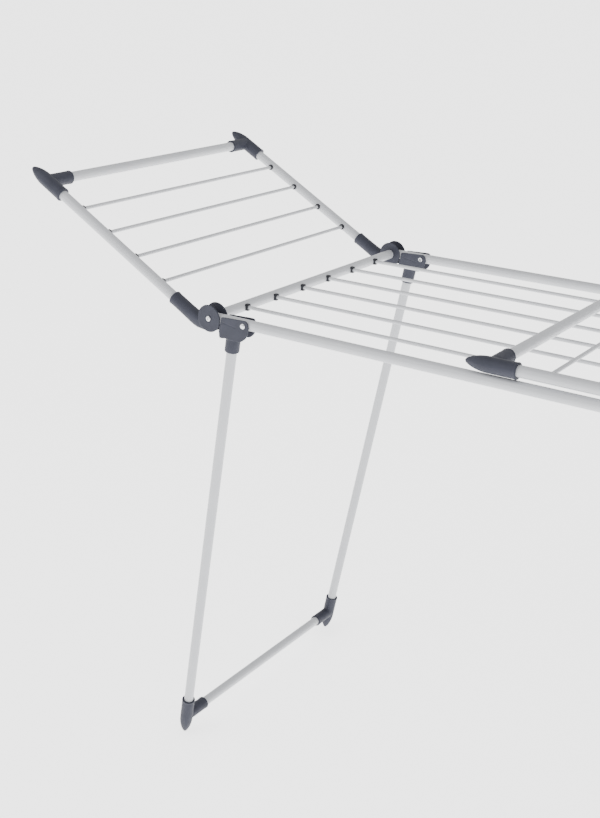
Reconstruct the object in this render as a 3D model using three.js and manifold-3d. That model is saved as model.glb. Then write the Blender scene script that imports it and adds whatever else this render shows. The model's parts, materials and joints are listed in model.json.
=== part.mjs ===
// Clothes drying rack: a tubular centre frame with wires, two folding wings and two folding leg frames.
// Millimetres, +Z up, +X along the rack, -Y the front. Stored with the left wing raised on its stop
// and the right wing folded flat on the frame; both leg frames are open.

import * as THREE from 'three';
import { mergeVertices } from 'three/addons/utils/BufferGeometryUtils.js';
import Module from 'manifold-3d';

const wasm = await Module();
wasm.setup();

// ---- driving dimensions ----
const TRACK = 560;                 // distance between the axes of the two side tubes
const SPAN = 920;                  // distance between the two wing hinges
const TUBE_R = 8.9;                // every structural tube
const TUBE_WALL = 0.6;
const WIRE_R = 3.2;                // hanging wires, drawn as fine tubes
const WIRE_WALL = 0.7;
const GAP = 0.3;                   // clearance between pieces that touch
const FRAME_WIRES = 6;
const WING_REACH = 411.4;          // hinge to the axis of the wing's end tube
const WING_OFFSET = 23.2;          // wing tubes below the hinge while open, above it while folded
const WING_WIRE_FIRST = 121.1;     // hinge to the nearest wing wire
const WING_WIRE_PITCH = 69;
const WING_WIRES = 4;
const WING_RAISE = THREE.MathUtils.degToRad(29.07);
const LEG_SPLAY = THREE.MathUtils.degToRad(10.69);
const LEG_PIVOT = 71;              // wing hinge to the leg's rivet, along the side tube
const LEG_OFFSET = 23.4;           // leg plane outward of its rivet
const LEG_REACH = 861.4;           // rivet level to the axis of the foot tube, along the leg
const FOOT_TRACK = 490;            // distance between the leg axes at the foot tube
const FOOT_FLAT = 1.2;              // length cut off each foot tip to stand flat

// ---- derived dimensions ----
const HALF = TRACK / 2;
const TUBE_BORE = TUBE_R - TUBE_WALL;
const SOCKET_R = TUBE_R + GAP;
const SLEEVE_R = 12.2;

// ---- connector dimensions ----
const TEE = { r: 12.7, shift: 0.5, mouth: 41, tip: 43, branch: 51, noseStart: 5, insert: 13, rings: 6 };
const NOSE_BLUNTNESS = 0.6;
const DISC = { r: 23.1, t: 2.2, y: TUBE_R + GAP };
const ELBOW = { mouth: 82, web: 12.8, insert: 42 };
const BRACKET = { t: 2.4, y: TUBE_R + GAP, sleeveR: 12.4, sleeveEnd: 57, bore: 32 };
const PIN = { r: 2.6, hole: 2.9, headR: 4.7, headT: 1.8, hubR: TUBE_BORE - GAP, hubL: 12 };
const STUB = 8;                    // side tube beyond the hinge axis

const FACETS = 14;
const FINE_FACETS = 8;

// ---- materials ----
const enamel = new THREE.MeshStandardMaterial({ color: '#e9eaee', roughness: 0.35, metalness: 0.1 });
const plastic = new THREE.MeshStandardMaterial({ color: '#4d4f5b', roughness: 0.5, metalness: 0 });
const plated = new THREE.MeshStandardMaterial({ color: '#c9ccd0', roughness: 0.25, metalness: 1 });

// ---- solid helpers ----

// A closed solid from a three.js geometry: vertices welded, collapsed triangles dropped.
function solid(geometry) {
  const bare = geometry.clone();
  bare.deleteAttribute('normal');
  bare.deleteAttribute('uv');
  const welded = mergeVertices(bare, 1e-4);
  const index = welded.index.array;
  const triangles = [];
  for (let i = 0; i < index.length; i += 3) {
    const [a, b, c] = [index[i], index[i + 1], index[i + 2]];
    if (a !== b && b !== c && c !== a) triangles.push(a, b, c);
  }
  return new wasm.Manifold(new wasm.Mesh({
    numProp: 3,
    vertProperties: new Float32Array(welded.attributes.position.array),
    triVerts: new Uint32Array(triangles),
  }));
}

function toMesh(body, name, material) {
  const data = body.getMesh();
  const geometry = new THREE.BufferGeometry();
  geometry.setAttribute('position', new THREE.BufferAttribute(new Float32Array(data.vertProperties), 3));
  geometry.setIndex(new THREE.BufferAttribute(new Uint32Array(data.triVerts), 1));
  geometry.computeVertexNormals();
  const mesh = new THREE.Mesh(geometry, material);
  mesh.name = name;
  return mesh;
}

const vec = (x, y, z) => new THREE.Vector3(x, y, z);

// Turns a geometry made along +Y so that it runs from one point towards another.
function aim(geometry, from, to) {
  const direction = to.clone().sub(from).normalize();
  const turn = new THREE.Quaternion().setFromUnitVectors(vec(0, 1, 0), direction);
  geometry.applyQuaternion(turn);
  geometry.translate(from.x, from.y, from.z);
  return geometry;
}

// A solid of revolution; the profile holds [radius, distance] pairs measured from the first point.
function turned(profile, from, to, facets = FACETS) {
  const points = profile.map(([r, h]) => new THREE.Vector2(r, h));
  return solid(aim(new THREE.LatheGeometry(points, facets), from, to));
}

function rod(radius, from, to, facets = FACETS) {
  const length = from.distanceTo(to);
  return turned([[0, 0], [radius, 0], [radius, length], [0, length]], from, to, facets);
}

function tube(radius, wall, from, to, facets = FACETS) {
  const length = from.distanceTo(to);
  const inner = radius - wall;
  return turned([[radius, 0], [radius, length], [inner, length], [inner, 0], [radius, 0]], from, to, facets);
}

// A plate whose outline lies in the XZ plane, from y = start to y = start + thickness.
function plate(outline, start, thickness) {
  const geometry = new THREE.ExtrudeGeometry(outline, {
    depth: thickness, bevelEnabled: false, curveSegments: 3,
  });
  geometry.rotateX(Math.PI / 2);
  geometry.translate(0, start + thickness, 0);
  return solid(geometry);
}

// A polygon with each corner rounded by its own radius; corners are [x, z, radius].
function roundedOutline(corners) {
  const shape = new THREE.Shape();
  const count = corners.length;
  corners.forEach(([x, z, radius], i) => {
    const corner = new THREE.Vector2(x, z);
    const before = new THREE.Vector2(...corners[(i + count - 1) % count]);
    const after = new THREE.Vector2(...corners[(i + 1) % count]);
    const enter = before.sub(corner).setLength(radius).add(corner);
    const leave = after.sub(corner).setLength(radius).add(corner);
    if (i === 0) shape.moveTo(enter.x, enter.y);
    else shape.lineTo(enter.x, enter.y);
    if (radius > 0) shape.quadraticCurveTo(corner.x, corner.y, leave.x, leave.y);
  });
  shape.closePath();
  return shape;
}

// ---- connectors ----

// Corner connector: a sleeve with a pointed nose, and a branch square to the end tube. The sleeve
// runs from the corner along `back`, a little thicker on its outer wall; the branch runs along `side`.
function teeSolid(back, side) {
  const origin = vec(0, 0, 0);
  const mouth = back.clone().setLength(TEE.mouth);
  const total = TEE.mouth + TEE.tip;
  const noseLength = total - TEE.mouth - TEE.noseStart;
  const profile = [[0, 0], [TEE.r, 0], [TEE.r, TEE.mouth + TEE.noseStart]];
  for (let i = 1; i <= TEE.rings; i += 1) {
    const t = i / TEE.rings;
    const radius = t < 1 ? TEE.r * Math.cos((t * Math.PI) / 2) ** NOSE_BLUNTNESS : 0;
    profile.push([radius, TEE.mouth + TEE.noseStart + noseLength * t]);
  }
  const branchEnd = side.clone().setLength(TEE.branch);
  const sleeveFloor = back.clone().setLength(TEE.insert - GAP);
  const branchFloor = side.clone().setLength(TEE.insert - GAP);
  const outward = side.clone().setLength(-TEE.shift);
  return turned(profile, mouth, origin)
    .translate(outward.toArray())
    .add(rod(SLEEVE_R, origin, branchEnd))
    .subtract(rod(SOCKET_R, sleeveFloor, mouth.clone().multiplyScalar(1.1)))
    .subtract(rod(SOCKET_R, branchFloor, branchEnd.clone().multiplyScalar(1.1)));
}

// Wing elbow, in the wing's own frame: the wing points along -X and its tubes lie below the hinge.
function elbowSolid() {
  const x0 = -ELBOW.mouth;
  const axisZ = -WING_OFFSET;
  const sleeve = rod(SLEEVE_R, vec(x0, 0, axisZ), vec(-32, 0, axisZ));
  const socket = rod(SOCKET_R, vec(x0 - 1, 0, axisZ), vec(-ELBOW.insert + GAP, 0, axisZ));
  const shoulder = rod(SLEEVE_R, vec(-44, 0, axisZ), vec(-32, 0, axisZ));
  const heel = plate(roundedOutline([
    [-18, -34, 4], [-6, -29.4, 6], [8, -21.9, 3], [18.6, -13.2, 1], [12.4, -8.6, 0], [-18, -11.2, 0],
  ]), -10.4, 20.8);
  const half = DISC.y + DISC.t;
  const hub = rod(ELBOW.web, vec(0, -DISC.y, 0), vec(0, DISC.y, 0), 16);
  let body = wasm.Manifold.hull([shoulder, heel]).subtract(hub).add(sleeve);
  for (const y of [-half, DISC.y]) {
    body = body.add(rod(DISC.r, vec(0, y, 0), vec(0, y + DISC.t, 0), 24));
  }
  const sweep = plate(roundedOutline([
    [-DISC.r - 1, -12.2, 0], [-DISC.r - 1, 30, 0], [40, 30, 0], [40, -4, 0], [9, -10, 0],
  ]), -DISC.y, 2 * DISC.y);
  return body
    .subtract(sweep)
    .subtract(socket)
    .subtract(rod(PIN.hole, vec(0, -half - 1, 0), vec(0, half + 1, 0), FINE_FACETS));
}

// Leg bracket at its rivet: two plates astride the side tube, a web under it and the leg's sleeve.
// The outer plate, on the -1 or +1 side, is the deeper one.
function bracketSolid(legTop, legDirection, side) {
  const half = BRACKET.y + BRACKET.t;
  const innerCheek = roundedOutline([
    [-44.5, 7.5, 3], [8, 9.8, 5], [12, -3, 4], [7.5, -17, 6], [-3, -25.5, 5],
    [-36, -23.5, 1], [-48, -22.5, 4], [-50, -14, 2], [-46.3, -3, 1],
  ]);
  const outerCheek = roundedOutline([
    [-44.5, 7.5, 3], [8, 9.8, 5], [12, -3, 4], [7.5, -19, 6], [-6, -29, 5],
    [-36, -27.5, 1], [-49.5, -29.5, 5], [-50, -14, 2], [-46.3, -3, 1],
  ]);
  const web = roundedOutline([
    [-47.5, -9.3, 1], [-13.5, -9.3, 1], [-16, -23, 1], [-47.5, -22, 3],
  ]);
  const sleeveStart = legTop.clone().addScaledVector(legDirection, 16);
  const sleeveEnd = legTop.clone().addScaledVector(legDirection, BRACKET.sleeveEnd);
  const boreStart = legTop.clone().addScaledVector(legDirection, BRACKET.bore - GAP);
  const boreEnd = legTop.clone().addScaledVector(legDirection, BRACKET.sleeveEnd + 2);
  let body = plate(web, -half, 2 * half).add(rod(BRACKET.sleeveR, sleeveStart, sleeveEnd));
  for (const y of [-half, BRACKET.y]) {
    body = body.add(plate(Math.sign(y) === side ? outerCheek : innerCheek, y, BRACKET.t));
  }
  return body
    .subtract(rod(SOCKET_R, boreStart, boreEnd))
    .subtract(rod(PIN.hole, vec(0, -half - 1, 0), vec(0, half + 1, 0), FINE_FACETS));
}

// Hinge pin: domed head outside, shank through the elbow and side tube, hub inside the cross tube.
function hingePinSolid(side) {
  const outer = DISC.y + DISC.t + GAP;
  const start = vec(0, side * (outer + PIN.headT), 0);
  const end = vec(0, -side * (outer + PIN.hubL), 0);
  const toShank = PIN.headT;
  const toHub = PIN.headT + 2 * outer + 1;
  const total = start.distanceTo(end);
  return turned([
    [0, 0.9], [1.4, 0.9], [1.8, 0], [PIN.headR - 1.4, 0], [PIN.headR, toShank - 0.6], [PIN.headR, toShank],
    [PIN.r, toShank], [PIN.r, toHub], [PIN.hubR, toHub], [PIN.hubR, total], [0, total],
  ], start, end, FINE_FACETS);
}

// Leg rivet: domed head outside, hollow clinched end inside.
function legRivetSolid(side) {
  const outer = BRACKET.y + BRACKET.t + GAP;
  const start = vec(0, side * (outer + PIN.headT), 0);
  const end = vec(0, -side * (outer + PIN.headT), 0);
  const total = start.distanceTo(end);
  return turned([
    [0, 0], [PIN.headR - 2.4, 0.2], [PIN.headR - 0.6, 1], [PIN.headR, PIN.headT], [PIN.r, PIN.headT],
    [PIN.r, total - PIN.headT], [PIN.headR - 0.5, total - PIN.headT], [PIN.headR - 1.2, total],
    [2, total], [1.6, total - 3], [0, total - 3],
  ], start, end, FINE_FACETS);
}

// ---- the rack ----
const rack = new THREE.Group();

// Side tubes of the centre frame, drilled for the hinge pins and the leg rivets.
function addSideTubes(group) {
  const end = SPAN / 2 + STUB;
  for (const [label, y] of [['front', -HALF], ['rear', HALF]]) {
    let body = tube(TUBE_R, TUBE_WALL, vec(-end, y, 0), vec(end, y, 0));
    for (const x of [SPAN / 2, SPAN / 2 - LEG_PIVOT]) {
      for (const sign of [-1, 1]) {
        body = body.subtract(
          rod(PIN.hole, vec(sign * x, y - 12, 0), vec(sign * x, y + 12, 0), FINE_FACETS));
      }
    }
    group.add(toMesh(body, `frame_side_tube_${label}`, enamel));
  }
}

// Lengthwise wires, ending inside the cross tubes.
function addFrameWires(group) {
  const reach = SPAN / 2 - 1;
  for (let i = 1; i <= FRAME_WIRES; i += 1) {
    const y = -HALF + (TRACK * i) / (FRAME_WIRES + 1);
    const body = tube(WIRE_R, WIRE_WALL, vec(-reach, y, 0), vec(reach, y, 0), FINE_FACETS);
    group.add(toMesh(body, `frame_wire_${i}`, enamel));
  }
}

// Cross tube on the hinge axis, drilled on its inner side for the wires.
function addCrossTube(group, end) {
  const reach = HALF - DISC.y - DISC.t - GAP;
  let body = tube(TUBE_R, TUBE_WALL, vec(0, -reach, 0), vec(0, reach, 0));
  for (let i = 1; i <= FRAME_WIRES; i += 1) {
    const y = -HALF + (TRACK * i) / (FRAME_WIRES + 1);
    body = body.subtract(rod(WIRE_R + GAP, vec(0, y, 0), vec(12, y, 0), FINE_FACETS));
  }
  group.add(toMesh(body, `${end}_cross_tube`, enamel));
}

// One wing, pointing along -X from its hinge, with its tubes below the hinge axis.
function makeWing(end, labelFor) {
  const wing = new THREE.Group();
  const z = -WING_OFFSET;
  const tubeEnd = WING_REACH - TEE.insert;
  for (const side of [-1, 1]) {
    const y = side * HALF;
    let body = tube(TUBE_R, TUBE_WALL, vec(-tubeEnd, y, z), vec(-ELBOW.insert, y, z));
    for (let i = 0; i < WING_WIRES; i += 1) {
      const x = -(WING_WIRE_FIRST + WING_WIRE_PITCH * i);
      body = body.subtract(rod(WIRE_R + GAP, vec(x, y, z), vec(x, y - side * 12, z), FINE_FACETS));
    }
    wing.add(toMesh(body, `${end}_wing_side_tube_${labelFor(side)}`, enamel));
    const tee = toMesh(teeSolid(vec(1, 0, 0), vec(0, -side, 0)),
      `${end}_wing_corner_${labelFor(side)}`, plastic);
    tee.position.set(-WING_REACH, y, z);
    wing.add(tee);
    const elbow = toMesh(elbowSolid(), `${end}_wing_elbow_${labelFor(side)}`, plastic);
    elbow.position.set(0, y, 0);
    wing.add(elbow);
  }
  const endReach = HALF - TEE.insert;
  const endTube = tube(TUBE_R, TUBE_WALL, vec(-WING_REACH, -endReach, z), vec(-WING_REACH, endReach, z));
  wing.add(toMesh(endTube, `${end}_wing_end_tube`, enamel));
  for (let i = 0; i < WING_WIRES; i += 1) {
    const x = -(WING_WIRE_FIRST + WING_WIRE_PITCH * i);
    const body = tube(WIRE_R, WIRE_WALL, vec(x, -HALF + 1, z), vec(x, HALF - 1, z), FINE_FACETS);
    wing.add(toMesh(body, `${end}_wing_wire_${i + 1}`, enamel));
  }
  return wing;
}

// One leg frame at its open position. The group's origin is the rivet axis at mid width.
function makeLegs(end, labelFor) {
  const legs = new THREE.Group();
  const down = vec(-Math.sin(LEG_SPLAY), 0, -Math.cos(LEG_SPLAY));
  const outward = vec(-Math.cos(LEG_SPLAY), 0, Math.sin(LEG_SPLAY));
  const plane = outward.clone().multiplyScalar(LEG_OFFSET);
  const footAxis = plane.clone().addScaledVector(down, LEG_REACH);
  for (const side of [-1, 1]) {
    const top = plane.clone().setY(side * HALF);
    const corner = footAxis.clone().setY((side * FOOT_TRACK) / 2);
    const along = corner.clone().sub(top).normalize();
    const tubeStart = top.clone().addScaledVector(along, BRACKET.bore);
    const tubeEnd = corner.clone().addScaledVector(along, -TEE.insert);
    legs.add(toMesh(tube(TUBE_R, TUBE_WALL, tubeStart, tubeEnd),
      `${end}_leg_tube_${labelFor(side)}`, enamel));

    const bracket = toMesh(bracketSolid(plane, along, side), `${end}_leg_bracket_${labelFor(side)}`, plastic);
    bracket.position.set(0, side * HALF, 0);
    legs.add(bracket);

    const floor = solid(new THREE.BoxGeometry(60, 60, 40));
    const tipZ = along.z * (TEE.tip - FOOT_FLAT);
    const foot = teeSolid(along.clone().negate(), vec(0, -side, 0))
      .subtract(floor.translate([0, 0, tipZ - 20]));
    const footMesh = toMesh(foot, `${end}_foot_${labelFor(side)}`, plastic);
    footMesh.position.copy(corner);
    legs.add(footMesh);
  }
  const reach = FOOT_TRACK / 2 - TEE.insert;
  const from = footAxis.clone().setY(-reach);
  const to = footAxis.clone().setY(reach);
  legs.add(toMesh(tube(TUBE_R, TUBE_WALL, from, to), `${end}_foot_tube`, enamel));
  return legs;
}

// One end of the rack, built as the left end; the right end is the same, turned half round.
function makeEnd(end, raise, labelFor) {
  const group = new THREE.Group();
  addCrossTube(group, end);
  const wing = makeWing(end, labelFor);
  wing.rotation.y = raise;
  group.add(wing);
  const legs = makeLegs(end, labelFor);
  legs.position.x = LEG_PIVOT;
  group.add(legs);
  for (const side of [-1, 1]) {
    const pin = toMesh(hingePinSolid(side), `${end}_hinge_pin_${labelFor(side)}`, plated);
    pin.position.set(0, side * HALF, 0);
    group.add(pin);
    const rivet = toMesh(legRivetSolid(side), `${end}_leg_rivet_${labelFor(side)}`, plated);
    rivet.position.set(LEG_PIVOT, side * HALF, 0);
    group.add(rivet);
  }
  return group;
}

addSideTubes(rack);
addFrameWires(rack);
const left = makeEnd('left', WING_RAISE, (side) => (side < 0 ? 'front' : 'rear'));
left.position.x = -SPAN / 2;
rack.add(left);
const right = makeEnd('right', Math.PI, (side) => (side < 0 ? 'rear' : 'front'));
right.rotation.z = Math.PI;
right.position.x = SPAN / 2;
rack.add(right);

// Stand the rack on its feet with the bounding box centred on the origin.
rack.updateMatrixWorld(true);
const bounds = new THREE.Box3().setFromObject(rack, true);
const centre = bounds.getCenter(vec(0, 0, 0));
rack.position.set(-centre.x, -centre.y, -bounds.min.z);

export default rack;
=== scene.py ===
"""Looks of the clothes drying rack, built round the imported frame. Metres, +Z up, +X along the rack.

Every CAD node is replaced by a finely made piece at the same place. A piece of the wing or leg frame is
drawn in that frame's own axes, so left, right, front and rear share one function each.
"""
import json
import math

import bmesh
import bpy
from mathutils import Matrix, Vector


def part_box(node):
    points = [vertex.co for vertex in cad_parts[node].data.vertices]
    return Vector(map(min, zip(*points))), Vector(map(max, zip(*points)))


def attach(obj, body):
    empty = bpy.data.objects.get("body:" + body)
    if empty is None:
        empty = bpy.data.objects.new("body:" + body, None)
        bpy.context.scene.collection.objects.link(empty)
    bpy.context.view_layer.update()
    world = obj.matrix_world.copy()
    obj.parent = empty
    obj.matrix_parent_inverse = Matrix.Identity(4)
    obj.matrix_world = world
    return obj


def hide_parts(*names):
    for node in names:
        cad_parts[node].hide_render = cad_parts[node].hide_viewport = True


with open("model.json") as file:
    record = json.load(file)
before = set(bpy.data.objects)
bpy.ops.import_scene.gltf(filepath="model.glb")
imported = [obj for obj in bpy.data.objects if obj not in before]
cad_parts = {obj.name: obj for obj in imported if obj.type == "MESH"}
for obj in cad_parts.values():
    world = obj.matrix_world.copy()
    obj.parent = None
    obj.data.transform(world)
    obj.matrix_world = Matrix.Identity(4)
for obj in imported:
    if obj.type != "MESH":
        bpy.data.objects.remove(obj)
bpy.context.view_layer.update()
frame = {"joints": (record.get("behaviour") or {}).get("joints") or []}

MM = 0.001

# ---- driving dimensions, in metres ----
TUBE_R = 8.9 * MM
TUBE_WALL = 0.6 * MM
WIRE_R = 3.2 * MM
WIRE_WALL = 0.7 * MM
GAP = 0.3 * MM
FRAME_WIRES = 6
WING_WIRES = 4
WING_REACH = 411.4 * MM
WING_OFFSET = 23.2 * MM
WING_WIRE_FIRST = 121.1 * MM
WING_WIRE_PITCH = 69 * MM
WING_RAISE = math.radians(29.07)
LEG_SPLAY = math.radians(10.69)
LEG_OFFSET = 23.4 * MM
LEG_REACH = 861.4 * MM
FOOT_TRACK = 490 * MM
FOOT_FLAT = 1.2 * MM
STUB = 8 * MM
SLEEVE_R = 12.2 * MM
LIP = 0.4 * MM
TEE_MOUTH, TEE_TIP, TEE_BRANCH, TEE_INSERT = 41 * MM, 43 * MM, 51 * MM, 13 * MM
TEE_R, TEE_SHIFT = 12.7 * MM, 0.5 * MM
NOSE_START = 5 * MM
NOSE_BLUNTNESS = 0.6
DISC_R, DISC_T = 23.1 * MM, 2.2 * MM
ELBOW_MOUTH, ELBOW_WEB, ELBOW_INSERT = 82 * MM, 12.8 * MM, 42 * MM
CHEEK_T = 2.4 * MM
BRACKET_SLEEVE_R, BRACKET_END, BRACKET_BORE = 12.4 * MM, 57 * MM, 32 * MM
CHEEK_Y = TUBE_R + GAP
PIN_R, PIN_HOLE, HEAD_R, HEAD_T = 2.6 * MM, 3.3 * MM, 4.7 * MM, 1.8 * MM
HUB_R, HUB_L = TUBE_R - TUBE_WALL - GAP, 12 * MM

CROSS_GROMMET = {"width": 10.4 * MM, "height": 11.6 * MM, "depth": 7 * MM, "corner": 5}
WING_GROMMET = {"width": 10.4 * MM, "height": 10.4 * MM, "depth": 6 * MM, "corner": 2.6}

# ---- studio ----
FLOOR_REACH = 80
FLOOR_GLOW = 2.3
KEY_POWER = 45
FILL_POWER = 8
WORLD_LIGHT = 1
CAMERA_OFFSET = Vector((1.2192, -1.7367, 0.5699))
CAMERA_YAW = math.radians(35.560)
CAMERA_PITCH = math.radians(21.074)
CAMERA_ROLL = math.radians(0.680)
CAMERA_LENS = 52.89

# ---- fineness ----
ROUND = 56
WIRE_ROUND = 24
VOXEL = 0.6 * MM
KEPT_FACES = 0.4

# ---- places read from the frame ----
joints = {joint["name"]: joint for joint in frame["joints"]}
HINGE = {end: Vector(joints[f"{end}_wing_hinge"]["pos_m"]) for end in ("left", "right")}
LEG_PIVOT = joints["left_leg_hinge"]["pos_m"][0] - HINGE["left"].x
side_low, side_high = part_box("frame_side_tube_rear")
HALF = (side_low.y + side_high.y) / 2

END_AXES = {
    "left": Matrix.Translation(HINGE["left"]),
    "right": Matrix.Translation(HINGE["right"]) @ Matrix.Rotation(math.pi, 4, "Z"),
}
WING_AXES = {
    "left": END_AXES["left"] @ Matrix.Rotation(WING_RAISE, 4, "Y"),
    "right": END_AXES["right"] @ Matrix.Rotation(math.pi, 4, "Y"),
}
RIVET_AXES = {end: axes @ Matrix.Translation((LEG_PIVOT, 0, 0)) for end, axes in END_AXES.items()}
LEG_AXES = {end: axes @ Matrix.Rotation(LEG_SPLAY, 4, "Y") for end, axes in RIVET_AXES.items()}


def label(end, side):
    """front or rear, for a piece on the -1 or +1 side of an end's own axes."""
    return "front" if (side < 0) == (end == "left") else "rear"


# ---- materials ----

def new_material(name, colour, roughness, metallic=0.0):
    material = bpy.data.materials.new(name)
    material.use_nodes = True
    shader = material.node_tree.nodes["Principled BSDF"]
    shader.inputs["Base Color"].default_value = (*colour, 1)
    shader.inputs["Roughness"].default_value = roughness
    shader.inputs["Metallic"].default_value = metallic
    return material, shader


def noise(tree, scale, detail=3.0):
    """3-D noise in the object's own coordinates; scale is in features per metre."""
    place = tree.nodes.new("ShaderNodeTexCoord")
    texture = tree.nodes.new("ShaderNodeTexNoise")
    texture.inputs["Scale"].default_value = scale
    texture.inputs["Detail"].default_value = detail
    tree.links.new(place.outputs["Object"], texture.inputs["Vector"])
    return texture.outputs["Fac"]


def vary(tree, factor, low, high, socket):
    """Drives a colour or number between low and high by a noise factor."""
    if isinstance(low, tuple):
        ramp = tree.nodes.new("ShaderNodeValToRGB")
        ramp.color_ramp.elements[0].position = 0.3
        ramp.color_ramp.elements[1].position = 0.7
        ramp.color_ramp.elements[0].color = (*low, 1)
        ramp.color_ramp.elements[1].color = (*high, 1)
        tree.links.new(factor, ramp.inputs["Fac"])
        tree.links.new(ramp.outputs["Color"], socket)
        return
    span = tree.nodes.new("ShaderNodeMapRange")
    span.inputs["From Min"].default_value = 0.3
    span.inputs["From Max"].default_value = 0.7
    span.inputs["To Min"].default_value = low
    span.inputs["To Max"].default_value = high
    tree.links.new(factor, span.inputs["Value"])
    tree.links.new(span.outputs["Result"], socket)


def bump(tree, shader, factor, strength, distance):
    node = tree.nodes.new("ShaderNodeBump")
    node.inputs["Strength"].default_value = strength
    node.inputs["Distance"].default_value = distance
    tree.links.new(factor, node.inputs["Height"])
    tree.links.new(node.outputs["Normal"], shader.inputs["Normal"])


def enamel_material():
    """White powder enamel: faint orange peel, slightly uneven gloss."""
    material, shader = new_material("white_enamel", (0.48, 0.49, 0.515), 0.36)
    tree = material.node_tree
    shader.inputs["Coat Weight"].default_value = 0.25
    shader.inputs["Coat Roughness"].default_value = 0.2
    vary(tree, noise(tree, 14), (0.47, 0.48, 0.505), (0.50, 0.51, 0.53), shader.inputs["Base Color"])
    vary(tree, noise(tree, 60), 0.30, 0.42, shader.inputs["Roughness"])
    bump(tree, shader, noise(tree, 900, 2), 0.12, 0.00012)
    return material


def plastic_material(name, low, high):
    """Moulded plastic: spark-eroded grain and uneven sheen."""
    material, shader = new_material(name, low, 0.48)
    shader.inputs["Specular IOR Level"].default_value = 0.16
    tree = material.node_tree
    vary(tree, noise(tree, 35), low, high, shader.inputs["Base Color"])
    vary(tree, noise(tree, 120), 0.40, 0.56, shader.inputs["Roughness"])
    bump(tree, shader, noise(tree, 2600, 4), 0.25, 0.0001)
    return material


def plated_material():
    """Bright zinc-plated steel with fine handling marks."""
    material, shader = new_material("plated_steel", (0.72, 0.73, 0.75), 0.25, 1.0)
    tree = material.node_tree
    vary(tree, noise(tree, 400), 0.18, 0.36, shader.inputs["Roughness"])
    bump(tree, shader, noise(tree, 1800, 2), 0.1, 0.0001)
    return material


ENAMEL = enamel_material()
PLASTIC = plastic_material("slate_plastic", (0.033, 0.035, 0.048), (0.042, 0.044, 0.060))
GROMMET = plastic_material("grommet_plastic", (0.018, 0.019, 0.024), (0.024, 0.025, 0.031))
PLATED = plated_material()

# ---- meshes ----

def aim(start, finish):
    """A matrix that carries the +Z axis from the origin onto the line from start to finish."""
    direction = Vector(finish) - Vector(start)
    return Matrix.Translation(start) @ direction.to_track_quat("Z", "Y").to_matrix().to_4x4()


def lathe(profile, start, finish, facets=ROUND, closed=False):
    """A solid of revolution about start-finish; the profile is (radius, distance) pairs.

    An open profile starts and ends on the axis; a closed one is a ring's section.
    """
    bm = bmesh.new()
    rings = []
    for radius, height in profile:
        if radius == 0:
            rings.append([bm.verts.new((0, 0, height))] * facets)
            continue
        turns = (2 * math.pi * i / facets for i in range(facets))
        rings.append([bm.verts.new((radius * math.cos(t), radius * math.sin(t), height)) for t in turns])
    pairs = list(zip(rings, rings[1:]))
    if closed:
        pairs.append((rings[-1], rings[0]))
    for lower, upper in pairs:
        for i in range(facets):
            j = (i + 1) % facets
            corners = list(dict.fromkeys((lower[i], lower[j], upper[j], upper[i])))
            if len(corners) > 2:
                bm.faces.new(corners)
    bmesh.ops.recalc_face_normals(bm, faces=bm.faces)
    bm.transform(aim(start, finish))
    return bm


def rod(radius, start, finish, facets=ROUND):
    length = (Vector(finish) - Vector(start)).length
    return lathe([(0, 0), (radius, 0), (radius, length), (0, length)], start, finish, facets)


def hollow(radius, wall, start, finish, facets=ROUND):
    """A tube with its cut ends just broken."""
    length = (Vector(finish) - Vector(start)).length
    edge = wall / 3
    section = [
        (radius, edge), (radius, length - edge), (radius - edge, length),
        (radius - wall, length), (radius - wall, 0), (radius - edge, 0),
    ]
    return lathe(section, start, finish, facets, closed=True)


def slab(outline, start, thickness):
    """A plate with its outline in the XZ plane, thick along +Y."""
    bm = bmesh.new()
    near = [bm.verts.new((x, start, z)) for x, z in outline]
    far = [bm.verts.new((x, start + thickness, z)) for x, z in outline]
    bm.faces.new(near)
    bm.faces.new(list(reversed(far)))
    for i in range(len(outline)):
        j = (i + 1) % len(outline)
        bm.faces.new((near[j], near[i], far[i], far[j]))
    bmesh.ops.recalc_face_normals(bm, faces=bm.faces)
    return bm


def squircle(half_width, half_height, power, facets):
    """Points of a superellipse: power 2 is an ellipse, higher powers are squarer."""
    points = []
    for i in range(facets):
        angle = 2 * math.pi * i / facets
        c, s = math.cos(angle), math.sin(angle)
        scale = (abs(c) ** power + abs(s) ** power) ** (-1 / power)
        points.append((half_width * c * scale, half_height * s * scale))
    return points


def loft(stations, facets=ROUND):
    """A solid through superellipse sections across X, in millimetres.

    Each station is (x, z of the bottom, z of the top, half width along Y, power).
    """
    bm = bmesh.new()
    rings = []
    for x, bottom, top, half_width, power in stations:
        middle, half_height = (bottom + top) / 2, (top - bottom) / 2
        section = squircle(half_width, half_height, power, facets)
        rings.append([bm.verts.new((x * MM, y * MM, (middle + z) * MM)) for y, z in section])
    for lower, upper in zip(rings, rings[1:]):
        for i in range(facets):
            j = (i + 1) % facets
            bm.faces.new((lower[i], lower[j], upper[j], upper[i]))
    bm.faces.new(rings[0])
    bm.faces.new(list(reversed(rings[-1])))
    bmesh.ops.recalc_face_normals(bm, faces=bm.faces)
    return bm


def rounded(corners, steps=6):
    """A polygon in metres with rounded corners, from (x, z, radius) in millimetres."""
    outline = []
    count = len(corners)
    for i, (x, z, radius) in enumerate(corners):
        corner = Vector((x, z))
        before = Vector(corners[i - 1][:2]) - corner
        after = Vector(corners[(i + 1) % count][:2]) - corner
        if radius == 0:
            outline.append(corner * MM)
            continue
        enter = corner + before.normalized() * radius
        leave = corner + after.normalized() * radius
        for step in range(steps + 1):
            t = step / steps
            outline.append(((1 - t) ** 2 * enter + 2 * t * (1 - t) * corner + t * t * leave) * MM)
    return outline


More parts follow.
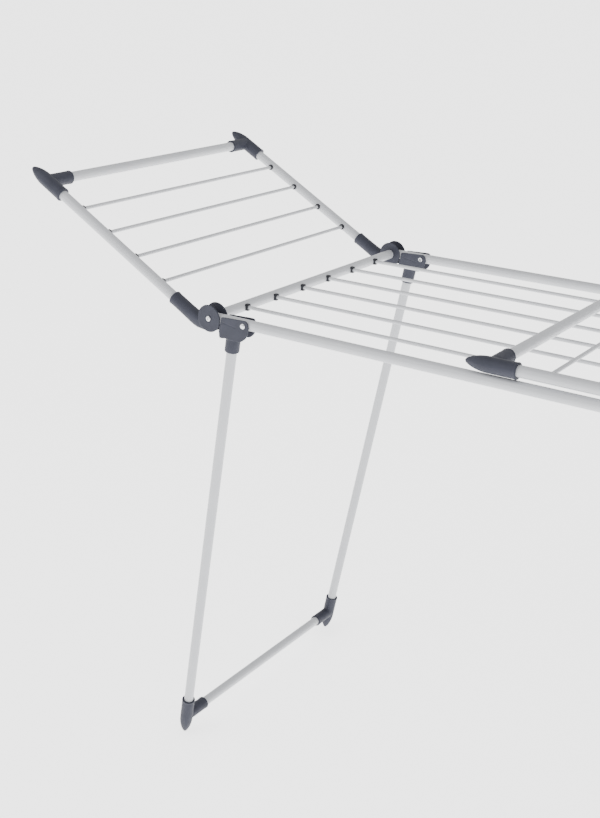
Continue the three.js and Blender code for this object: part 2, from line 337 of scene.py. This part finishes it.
def to_object(name, *parts):
    """One object from one or more bmeshes."""
    joined = bmesh.new()
    for part in parts:
        scratch = bpy.data.meshes.new("scratch")
        part.to_mesh(scratch)
        part.free()
        joined.from_mesh(scratch)
        bpy.data.meshes.remove(scratch)
    mesh = bpy.data.meshes.new(name)
    joined.to_mesh(mesh)
    joined.free()
    made = bpy.data.objects.new(name, mesh)
    bpy.context.scene.collection.objects.link(made)
    return made


def apply_modifiers(made):
    bpy.context.view_layer.update()
    graph = bpy.context.evaluated_depsgraph_get()
    mesh = bpy.data.meshes.new_from_object(made.evaluated_get(graph))
    old = made.data
    made.modifiers.clear()
    made.data = mesh
    bpy.data.meshes.remove(old)


def remesh(made):
    modifier = made.modifiers.new("grid", "REMESH")
    modifier.mode = "VOXEL"
    modifier.voxel_size = VOXEL
    apply_modifiers(made)


def moulded(name, solids, cuts):
    """A moulding: solids fused, cuts taken away, and every edge softened. Returns its mesh."""
    made = to_object(name, *solids)
    remesh(made)
    for cut in cuts:
        tool = to_object("cutter", cut)
        modifier = made.modifiers.new("cut", "BOOLEAN")
        modifier.operation = "DIFFERENCE"
        modifier.solver = "EXACT"
        modifier.object = tool
        apply_modifiers(made)
        bpy.data.objects.remove(tool)
    remesh(made)
    soften = made.modifiers.new("soften", "SMOOTH")
    soften.factor = 0.5
    soften.iterations = 3
    thin = made.modifiers.new("thin", "DECIMATE")
    thin.ratio = KEPT_FACES
    apply_modifiers(made)
    mesh = made.data
    bpy.data.objects.remove(made)
    return mesh


def finish_piece(made, axes, material, body, node=None):
    """Puts a piece in place, gives it its material and lets it ride on its body."""
    made.data.transform(axes)
    made.data.materials.clear()
    made.data.materials.append(material)
    made.data.shade_smooth()
    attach(made, body)
    if node:
        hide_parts(node)
    return made


def sharp_edges(made, degrees=35):
    """Keeps the crisp edges of a turned piece crisp under smooth shading."""
    bm = bmesh.new()
    bm.from_mesh(made.data)
    for edge in bm.edges:
        if len(edge.link_faces) == 2 and edge.calc_face_angle(0) > math.radians(degrees):
            edge.smooth = False
    bm.to_mesh(made.data)
    bm.free()


def add_turned(node, bm, axes, material, body):
    made = finish_piece(to_object(f"{node}_fine", bm), axes, material, body, node)
    sharp_edges(made)


def add_moulding(node, mesh, axes, body):
    made = bpy.data.objects.new(f"{node}_fine", mesh.copy())
    bpy.context.scene.collection.objects.link(made)
    finish_piece(made, axes, PLASTIC, body, node)


# ---- plastic mouldings ----

def tee_mesh(back, side, flat=False):
    """Corner connector at the origin: a pointed sleeve along back, and a branch along side."""
    back = back.normalized()
    mouth = back * TEE_MOUTH
    nose = TEE_TIP - NOSE_START
    body_r = TEE_R - LIP
    profile = [(0, 0), (TEE_R, 0), (TEE_R, 2.6 * MM), (body_r, 3.4 * MM)]
    steps = 14
    for i in range(steps):
        t = i / steps
        radius = body_r * math.cos(t * math.pi / 2) ** NOSE_BLUNTNESS
        profile.append((radius, TEE_MOUTH + NOSE_START + nose * t))
    profile.append((0, TEE_MOUTH + TEE_TIP))
    lip_start = TEE_BRANCH - 3.4 * MM
    branch_r = SLEEVE_R - LIP
    branch = [
        (0, 0), (branch_r, 0), (branch_r, lip_start), (SLEEVE_R, TEE_BRANCH - 2.6 * MM),
        (SLEEVE_R, TEE_BRANCH), (0, TEE_BRANCH),
    ]
    socket = TUBE_R + GAP
    origin = Vector((0, 0, 0))
    cuts = [
        rod(socket, back * TEE_INSERT, mouth * 1.2),
        rod(socket, side * TEE_INSERT, side * TEE_BRANCH * 1.2),
    ]
    if flat:
        level = -back.z * (TEE_TIP - FOOT_FLAT)
        cuts.append(rod(30 * MM, (0, 0, level), (0, 0, level - 20 * MM)))
    outward = -side * TEE_SHIFT
    body = lathe(profile, mouth + outward, origin + outward)
    return moulded("tee", [body, lathe(branch, origin, side * TEE_BRANCH)], cuts)


def elbow_mesh():
    """Wing elbow in the wing's axes: a sleeve, a neck, and two discs astride the side tube.

    The stop, a lug under the side tube, holds the wing at its raised place.
    """
    half = CHEEK_Y + DISC_T
    low, high = (-WING_OFFSET - SLEEVE_R) / MM, (-WING_OFFSET + SLEEVE_R) / MM
    neck = loft([
        (-56, low + 0.4, high - 0.4, 11.8, 2), (-40, low + 0.3, high - 0.4, 11.8, 2.1),
        (-30, low + 0.3, high, 11.6, 2.3), (-22, low + 0.9, high, 11.2, 2.6),
        (-14, -32.8, high, 10.8, 2.9), (-7, -29.8, high + 1, 10.6, 3.2), (0, -26.4, -9, 10.5, 3.6),
        (7, -22.9, -8, 10.4, 4), (11, -20.4, -8, 10.4, 4),
    ])
    stop = rounded([(-4, -22.6, 1), (8, -21.4, 2), (18.6, -13.2, 1), (12.4, -8.6, 1), (0, -11, 1)])
    sleeve_end = 50 * MM
    start, finish = (-ELBOW_MOUTH, 0, -WING_OFFSET), (-sleeve_end, 0, -WING_OFFSET)
    length = ELBOW_MOUTH - sleeve_end
    sleeve = [
        (0, 0), (SLEEVE_R - 0.5 * MM, 0), (SLEEVE_R, 0.6 * MM), (SLEEVE_R, 2.8 * MM),
        (SLEEVE_R - LIP, 3.8 * MM), (SLEEVE_R - LIP, length), (0, length),
    ]
    solids = [neck, slab(stop, -10 * MM, 20 * MM), lathe(sleeve, start, finish)]
    rim = 0.5 * MM
    disc = [(0, 0), (DISC_R - rim, 0), (DISC_R, rim), (DISC_R, DISC_T), (0, DISC_T)]
    for sign in (-1, 1):
        solids.append(lathe(disc, (0, sign * half, 0), (0, sign * CHEEK_Y, 0)))
    sweep = rounded([
        (-24.1, -12.2, 0), (-24.1, 30, 0), (40, 30, 0), (40, -4, 0), (9, -10, 0),
    ])
    cuts = [
        rod(ELBOW_WEB, (0, -CHEEK_Y, 0), (0, CHEEK_Y, 0)),
        slab(sweep, -CHEEK_Y, 2 * CHEEK_Y),
        rod(
            TUBE_R + GAP,
            (-ELBOW_MOUTH - GAP, 0, -WING_OFFSET), (-ELBOW_INSERT + GAP, 0, -WING_OFFSET),
        ),
        rod(PIN_HOLE, (0, -2 * half, 0), (0, 2 * half, 0)),
    ]
    recess = half - 0.5 * MM
    for sign in (-1, 1):
        cuts.append(rod(HEAD_R + 1.6 * MM, (0, sign * recess, 0), (0, sign * 2 * half, 0)))
    return moulded("elbow", solids, cuts)


def bracket_mesh(side):
    """Leg bracket about its rivet, level with the side tube: two cheeks, a web and the leg sleeve.

    The cheek on the outer side is the deeper one.
    """
    half = CHEEK_Y + CHEEK_T
    inner_cheek = rounded([
        (-44.5, 7.5, 3), (8, 9.8, 5), (12, -3, 4), (7.5, -17, 6), (-3, -25.5, 5),
        (-36, -23.5, 1), (-48, -22.5, 4), (-50, -14, 2), (-46.3, -3, 1),
    ])
    outer_cheek = rounded([
        (-44.5, 7.5, 3), (8, 9.8, 5), (12, -3, 4), (7.5, -19, 6), (-6, -29, 5),
        (-36, -27.5, 1), (-49.5, -29.5, 5), (-50, -14, 2), (-46.3, -3, 1),
    ])
    web = rounded([(-47.5, -9.3, 1), (-13.5, -9.3, 1), (-16, -23, 1), (-47.5, -22, 3)])
    top, along = leg_line(side)
    turn = Matrix.Rotation(LEG_SPLAY, 3, "Y")
    top = turn @ Vector((top.x, 0, top.z))
    along = turn @ along
    sleeve_start = 17 * MM
    length = BRACKET_END - sleeve_start
    sleeve = [
        (0, 0), (10.8 * MM, 0), (BRACKET_SLEEVE_R, 10 * MM), (BRACKET_SLEEVE_R, length), (0, length),
    ]
    solids = [
        slab(web, -half, 2 * half),
        lathe(sleeve, top + along * sleeve_start, top + along * BRACKET_END),
    ]
    for start in (-half, CHEEK_Y):
        solids.append(slab(outer_cheek if start * side > 0 else inner_cheek, start, CHEEK_T))
    cuts = [
        rod(TUBE_R + GAP, top + along * (BRACKET_BORE - GAP), top + along * (BRACKET_END + 2 * MM)),
        rod(PIN_HOLE, (0, -2 * half, 0), (0, 2 * half, 0)),
    ]
    groove_r = 0.7 * MM
    for face in (-half, half):
        cuts.append(rod(groove_r, (-43 * MM, face, -1 * MM), (-14 * MM, face, -6 * MM), WIRE_ROUND))
    return moulded("bracket", solids, cuts)


def leg_line(side):
    """Top point and direction of a leg tube, in the leg frame's axes."""
    top = Vector((-LEG_OFFSET, side * HALF, 0))
    foot = Vector((-LEG_OFFSET, side * FOOT_TRACK / 2, -LEG_REACH))
    return top, (foot - top).normalized()


# ---- metal ----

def hinge_pin(side):
    """Hollow head outside, shank through elbow and tube, hub inside the cross tube."""
    outer = CHEEK_Y + DISC_T + GAP
    start, finish = (0, side * (outer + HEAD_T), 0), (0, -side * (outer + HUB_L), 0)
    hub = HEAD_T + 2 * outer + 1 * MM
    total = 2 * outer + HEAD_T + HUB_L
    profile = [(0, 1.4 * MM), (1.3 * MM, 1.4 * MM), (1.6 * MM, 0.3 * MM), (2 * MM, 0)]
    profile += [(2.9 * MM, 0), (3.8 * MM, 0.3 * MM), (4.5 * MM, 0.9 * MM), (HEAD_R, HEAD_T)]
    profile += [(PIN_R, HEAD_T), (PIN_R, hub), (HUB_R, hub), (HUB_R, total), (0, total)]
    return lathe(profile, start, finish)


def leg_rivet(side):
    """Domed head outside, hollow clinched end inside."""
    outer = CHEEK_Y + CHEEK_T + GAP
    start, finish = (0, side * (outer + HEAD_T), 0), (0, -side * (outer + HEAD_T), 0)
    total = 2 * (outer + HEAD_T)
    head = [(0, 0)]
    for degrees in range(15, 91, 15):
        angle = math.radians(degrees)
        head.append((HEAD_R * math.sin(angle), HEAD_T * (1 - math.cos(angle))))
    clinch = total - HEAD_T
    profile = head + [(PIN_R, HEAD_T), (PIN_R, clinch), (4.2 * MM, clinch), (4.2 * MM, total - 0.8 * MM)]
    profile += [(3.6 * MM, total), (2.2 * MM, total - 0.4 * MM)]
    profile += [(2 * MM, total - 9 * MM), (0, total - 9 * MM)]
    return lathe(profile, start, finish)


def add_metal(node, bm, axes, body):
    material, slot = (PLATED, "plated_steel") if "pin" in node or "rivet" in node else (ENAMEL, "enamel")
    add_turned(node, bm, axes, material, body)


# ---- grommets ----

def collar(width, height, depth, corner):
    """A moulded collar round a wire, along +Z from the origin: squarish outside, round inside."""
    facets = 40
    bm = bmesh.new()
    bore = WIRE_R + 0.15 * MM
    rim = 0.5 * MM
    levels = [(0, 0), (0, depth - rim), (rim * 0.4, depth - rim * 0.3), (rim, depth)]
    rings = []
    for inset, height_up in levels:
        section = squircle(width / 2 - inset, height / 2 - inset, corner, facets)
        rings.append([bm.verts.new((x, y, height_up)) for x, y in section])
    for height_up in (depth, 0):
        turns = (2 * math.pi * i / facets for i in range(facets))
        rings.append([bm.verts.new((bore * math.cos(t), bore * math.sin(t), height_up)) for t in turns])
    for lower, upper in zip(rings, rings[1:] + rings[:1]):
        for i in range(facets):
            j = (i + 1) % facets
            bm.faces.new((lower[i], lower[j], upper[j], upper[i]))
    bmesh.ops.recalc_face_normals(bm, faces=bm.faces)
    return bm


def add_grommet(name, bm, place, body):
    made = to_object(name, bm)
    finish_piece(made, place, GROMMET, body)
    sharp_edges(made, 50)


def add_cross_grommets(end):
    """Squarish collars on the inner side of a cross tube, sunk a little into it."""
    sunk = 3.4 * MM
    root = TUBE_R - sunk
    for i in range(1, FRAME_WIRES + 1):
        y = -HALF + 2 * HALF * i / (FRAME_WIRES + 1)
        place = END_AXES[end] @ aim((root, y, 0), (1, y, 0))
        add_grommet(f"{end}_cross_grommet_{i}", collar(**CROSS_GROMMET), place, "frame")


def add_wing_grommets(end):
    """Round collars on the inner side of a wing's side tubes, sunk a little into them."""
    sunk = 2.8 * MM
    for side in (-1, 1):
        for i in range(WING_WIRES):
            x = -(WING_WIRE_FIRST + WING_WIRE_PITCH * i)
            start = Vector((x, side * (HALF - TUBE_R + sunk), -WING_OFFSET))
            place = WING_AXES[end] @ aim(start, start - Vector((0, side, 0)))
            name = f"{end}_wing_grommet_{label(end, side)}_{i + 1}"
            add_grommet(name, collar(**WING_GROMMET), place, f"{end}_wing")


# ---- sub-assemblies ----

def add_frame():
    left, right = HINGE["left"].x, HINGE["right"].x
    level = HINGE["left"].z
    here = Matrix.Identity(4)
    for name, y in (("front", -HALF), ("rear", HALF)):
        side_tube = hollow(TUBE_R, TUBE_WALL, (left - STUB, y, level), (right + STUB, y, level))
        add_metal(f"frame_side_tube_{name}", side_tube, here, "frame")
    inset = 1 * MM
    for i in range(1, FRAME_WIRES + 1):
        y = -HALF + 2 * HALF * i / (FRAME_WIRES + 1)
        wire = hollow(WIRE_R, WIRE_WALL, (left + inset, y, level), (right - inset, y, level), WIRE_ROUND)
        add_metal(f"frame_wire_{i}", wire, here, "frame")


def add_end(end):
    axes = END_AXES[end]
    reach = HALF - CHEEK_Y - DISC_T - GAP
    cross = hollow(TUBE_R, TUBE_WALL, (0, -reach, 0), (0, reach, 0))
    add_metal(f"{end}_cross_tube", cross, axes, "frame")
    for side in (-1, 1):
        name = label(end, side)
        out = Matrix.Translation((0, side * HALF, 0))
        add_metal(f"{end}_hinge_pin_{name}", hinge_pin(side), axes @ out, "frame")
        add_metal(f"{end}_leg_rivet_{name}", leg_rivet(side), RIVET_AXES[end] @ out, "frame")


def add_wing(end, elbow, corners):
    axes = WING_AXES[end]
    body = f"{end}_wing"
    level = -WING_OFFSET
    for side in (-1, 1):
        name = label(end, side)
        y = side * HALF
        start, finish = (-(WING_REACH - TEE_INSERT), y, level), (-ELBOW_INSERT, y, level)
        add_metal(f"{end}_wing_side_tube_{name}", hollow(TUBE_R, TUBE_WALL, start, finish), axes, body)
        corner = axes @ Matrix.Translation((-WING_REACH, y, level))
        add_moulding(f"{end}_wing_corner_{name}", corners[side], corner, body)
        hinge = axes @ Matrix.Translation((0, y, 0))
        add_moulding(f"{end}_wing_elbow_{name}", elbow, hinge, body)
    reach = HALF - TEE_INSERT
    end_tube = hollow(TUBE_R, TUBE_WALL, (-WING_REACH, -reach, level), (-WING_REACH, reach, level))
    add_metal(f"{end}_wing_end_tube", end_tube, axes, body)
    reach = HALF - 1 * MM
    for i in range(WING_WIRES):
        x = -(WING_WIRE_FIRST + WING_WIRE_PITCH * i)
        wire = hollow(WIRE_R, WIRE_WALL, (x, -reach, level), (x, reach, level), WIRE_ROUND)
        add_metal(f"{end}_wing_wire_{i + 1}", wire, axes, body)


def add_legs(end, brackets, feet):
    axes = LEG_AXES[end]
    body = f"{end}_legs"
    for side in (-1, 1):
        name = label(end, side)
        top, along = leg_line(side)
        corner = Vector((-LEG_OFFSET, side * FOOT_TRACK / 2, -LEG_REACH))
        leg = hollow(TUBE_R, TUBE_WALL, top + along * BRACKET_BORE, corner - along * TEE_INSERT)
        add_metal(f"{end}_leg_tube_{name}", leg, axes, body)
        rivet = RIVET_AXES[end] @ Matrix.Translation((0, side * HALF, 0))
        add_moulding(f"{end}_leg_bracket_{name}", brackets[side], rivet, body)
        splay = Matrix.Rotation(LEG_SPLAY, 4, "Y")
        foot = axes @ Matrix.Translation(corner) @ splay.inverted()
        add_moulding(f"{end}_foot_{name}", feet[side], foot, body)
    reach = FOOT_TRACK / 2 - TEE_INSERT
    start, finish = (-LEG_OFFSET, -reach, -LEG_REACH), (-LEG_OFFSET, reach, -LEG_REACH)
    add_metal(f"{end}_foot_tube", hollow(TUBE_R, TUBE_WALL, start, finish), axes, body)


def build_rack():
    elbow = elbow_mesh()
    splay = Matrix.Rotation(LEG_SPLAY, 3, "Y")
    corners, brackets, feet = {}, {}, {}
    for side in (-1, 1):
        inward = Vector((0, -side, 0))
        corners[side] = tee_mesh(Vector((1, 0, 0)), inward)
        brackets[side] = bracket_mesh(side)
        feet[side] = tee_mesh(splay @ -leg_line(side)[1], inward, flat=True)
    add_frame()
    for end in ("left", "right"):
        add_end(end)
        add_wing(end, elbow, corners)
        add_legs(end, brackets, feet)
        add_cross_grommets(end)
        add_wing_grommets(end)


# ---- studio ----

def add_floor():
    material, shader = new_material("studio_floor", (0.93, 0.93, 0.93), 0.9)
    shader.inputs["Emission Color"].default_value = (1, 1, 1, 1)
    shader.inputs["Emission Strength"].default_value = FLOOR_GLOW
    mesh = bpy.data.meshes.new("floor")
    signs = ((-1, -1), (1, -1), (1, 1), (-1, 1))
    corners = [(FLOOR_REACH * x, FLOOR_REACH * y, 0) for x, y in signs]
    mesh.from_pydata(corners, [], [(0, 1, 2, 3)])
    mesh.materials.append(material)
    floor = bpy.data.objects.new("floor", mesh)
    bpy.context.scene.collection.objects.link(floor)


def add_light(name, place, target, size, power):
    data = bpy.data.lights.new(name, "AREA")
    data.size = size
    data.energy = power
    light = bpy.data.objects.new(name, data)
    light.location = place
    light.rotation_euler = (Vector(target) - Vector(place)).to_track_quat("-Z", "Y").to_euler()
    bpy.context.scene.collection.objects.link(light)


def add_lights():
    centre = (0, 0, 0.6)
    add_light("key", (-2.2, -2.6, 3.4), centre, 2.5, KEY_POWER)
    add_light("fill", (3.2, -2.2, 2.2), centre, 3.0, FILL_POWER)
    add_light("back", (0.5, 3.2, 2.8), centre, 3.0, FILL_POWER)
    world = bpy.data.worlds.new("studio")
    world.use_nodes = True
    background = world.node_tree.nodes["Background"]
    background.inputs["Color"].default_value = (1, 1, 1, 1)
    background.inputs["Strength"].default_value = WORLD_LIGHT
    bpy.context.scene.world = world


def add_camera():
    """In front and to the right of the left hinge, looking down and to the left."""
    yaw, pitch, roll = CAMERA_YAW, CAMERA_PITCH, CAMERA_ROLL
    data = bpy.data.cameras.new("camera")
    data.lens = CAMERA_LENS
    data.sensor_width = 36
    camera = bpy.data.objects.new("camera", data)
    level = math.cos(pitch)
    forward = Vector((-math.sin(yaw) * level, math.cos(yaw) * level, -math.sin(pitch)))
    right = Vector((math.cos(yaw), math.sin(yaw), 0))
    up = right.cross(forward)
    across = math.cos(roll) * right + math.sin(roll) * up
    above = math.cos(roll) * up - math.sin(roll) * right
    turn = Matrix((across, above, -forward)).transposed()
    camera.matrix_world = Matrix.Translation(HINGE["left"] + CAMERA_OFFSET) @ turn.to_4x4()
    bpy.context.scene.collection.objects.link(camera)
    bpy.context.scene.camera = camera


add_camera()
build_rack()
add_floor()
add_lights()
